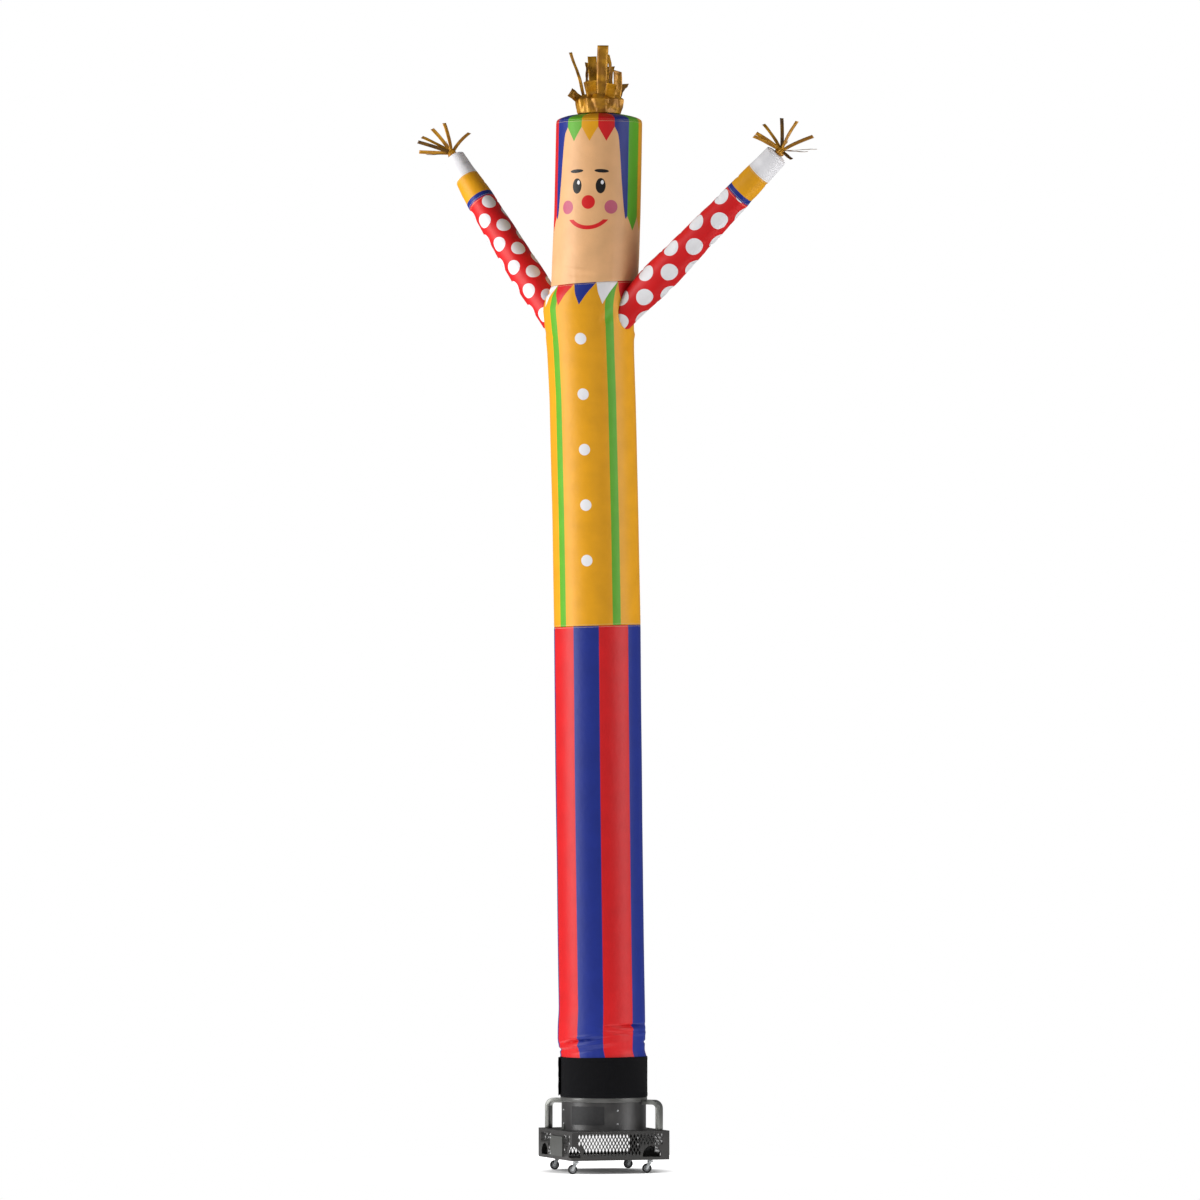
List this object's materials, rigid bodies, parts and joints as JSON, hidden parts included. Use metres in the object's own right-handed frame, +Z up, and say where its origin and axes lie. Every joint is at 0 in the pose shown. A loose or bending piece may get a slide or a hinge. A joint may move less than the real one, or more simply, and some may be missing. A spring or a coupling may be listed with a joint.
{
  "type": "inflatable air dancer on its blower",
  "caption": "An inflatable air dancer: a tall cloth tube with striped legs, a yellow shirt, dotted sleeves and gold ribbon hair and hands, standing on its round-ducted blower.",
  "frame": {"origin": "middle of the whole object's box, on the surface that the wheels stand on", "axes": "+Z up along the tube; -Y is the blower's front panel, +X its right side; the dancer leans and lifts its arms in an upright plane turned 19 degrees from the X axis"},
  "size_m": [1.7156, 1.6807, 5.9112],
  "materials": {
    "leg_cloth": "satin nylon, red and blue stripes",
    "shirt_cloth": "satin nylon, yellow with green stripes",
    "head_cloth": "satin nylon, skin tone with a printed face",
    "sleeve_cloth": "satin nylon, red with white dots",
    "cuff_cloth": "black woven nylon",
    "gold_ribbon": "gold satin ribbon",
    "base_sheet": "charcoal powder coat",
    "duct_sheet": "dark grey powder coat",
    "cover_sheet": "grey powder coat",
    "label_plate": "bare dark plate",
    "handle_bar": "satin",
    "zinc": "zinc plated",
    "wheel_rubber": "black, moulded"
  },
  "bodies": {
    "root": {"leg_tube": "leg_cloth", "shirt_tube": "shirt_cloth", "head_tube": "head_cloth", "head_cap": "head_cloth", "arm_left": "sleeve_cloth", "arm_right": "sleeve_cloth", "blower_cuff": "cuff_cloth", "cuff_flap": "cuff_cloth", "hair_tassel": "gold_ribbon", "hand_tassel_left": "gold_ribbon", "hand_tassel_right": "gold_ribbon", "duct": "duct_sheet", "duct_rim": "duct_sheet", "base_top": "base_sheet", "base_floor": "base_sheet", "panel_front": "base_sheet", "panel_back": "base_sheet", "panel_left": "base_sheet", "panel_right": "base_sheet", "side_cover_left": "cover_sheet", "side_cover_right": "cover_sheet", "label_plate": "label_plate", "handle_right": "handle_bar", "handle_left": "handle_bar", "duct_foot_right": "handle_bar", "duct_foot_left": "handle_bar", "caster_stem_front_left": "zinc", "caster_stem_front_right": "zinc", "caster_stem_back_left": "zinc", "caster_stem_back_right": "zinc"},
    "swivel_front_left": {"caster_fork_front_left": "zinc"},
    "wheel_front_left": {"caster_wheel_front_left": "wheel_rubber"},
    "swivel_front_right": {"caster_fork_front_right": "zinc"},
    "wheel_front_right": {"caster_wheel_front_right": "wheel_rubber"},
    "swivel_back_left": {"caster_fork_back_left": "zinc"},
    "wheel_back_left": {"caster_wheel_back_left": "wheel_rubber"},
    "swivel_back_right": {"caster_fork_back_right": "zinc"},
    "wheel_back_right": {"caster_wheel_back_right": "wheel_rubber"}
  },
  "joints": [
    {"name": "caster_swivel_front_left", "type": "hinge", "parent": "root", "child": "swivel_front_left", "pos_m": [-0.327, -0.326, 0.06], "axis": [0, 0, 1], "continuous": true},
    {"name": "wheel_spin_front_left", "type": "hinge", "parent": "swivel_front_left", "child": "wheel_front_left", "pos_m": [-0.34307, -0.32047, 0.025], "axis": [0.3256, 0.9455, 0], "continuous": true},
    {"name": "caster_swivel_front_right", "type": "hinge", "parent": "root", "child": "swivel_front_right", "pos_m": [0.083, -0.326, 0.06], "axis": [0, 0, 1], "continuous": true},
    {"name": "wheel_spin_front_right", "type": "hinge", "parent": "swivel_front_right", "child": "wheel_front_right", "pos_m": [0.06693, -0.32047, 0.025], "axis": [0.3256, 0.9455, 0], "continuous": true},
    {"name": "caster_swivel_back_left", "type": "hinge", "parent": "root", "child": "swivel_back_left", "pos_m": [-0.267, 0.144, 0.06], "axis": [0, 0, 1], "continuous": true},
    {"name": "wheel_spin_back_left", "type": "hinge", "parent": "swivel_back_left", "child": "wheel_back_left", "pos_m": [-0.28307, 0.14953, 0.025], "axis": [0.3256, 0.9455, 0], "continuous": true},
    {"name": "caster_swivel_back_right", "type": "hinge", "parent": "root", "child": "swivel_back_right", "pos_m": [0.143, 0.144, 0.06], "axis": [0, 0, 1], "continuous": true},
    {"name": "wheel_spin_back_right", "type": "hinge", "parent": "swivel_back_right", "child": "wheel_back_right", "pos_m": [0.12693, 0.14953, 0.025], "axis": [0.3256, 0.9455, 0], "continuous": true}
  ]
}
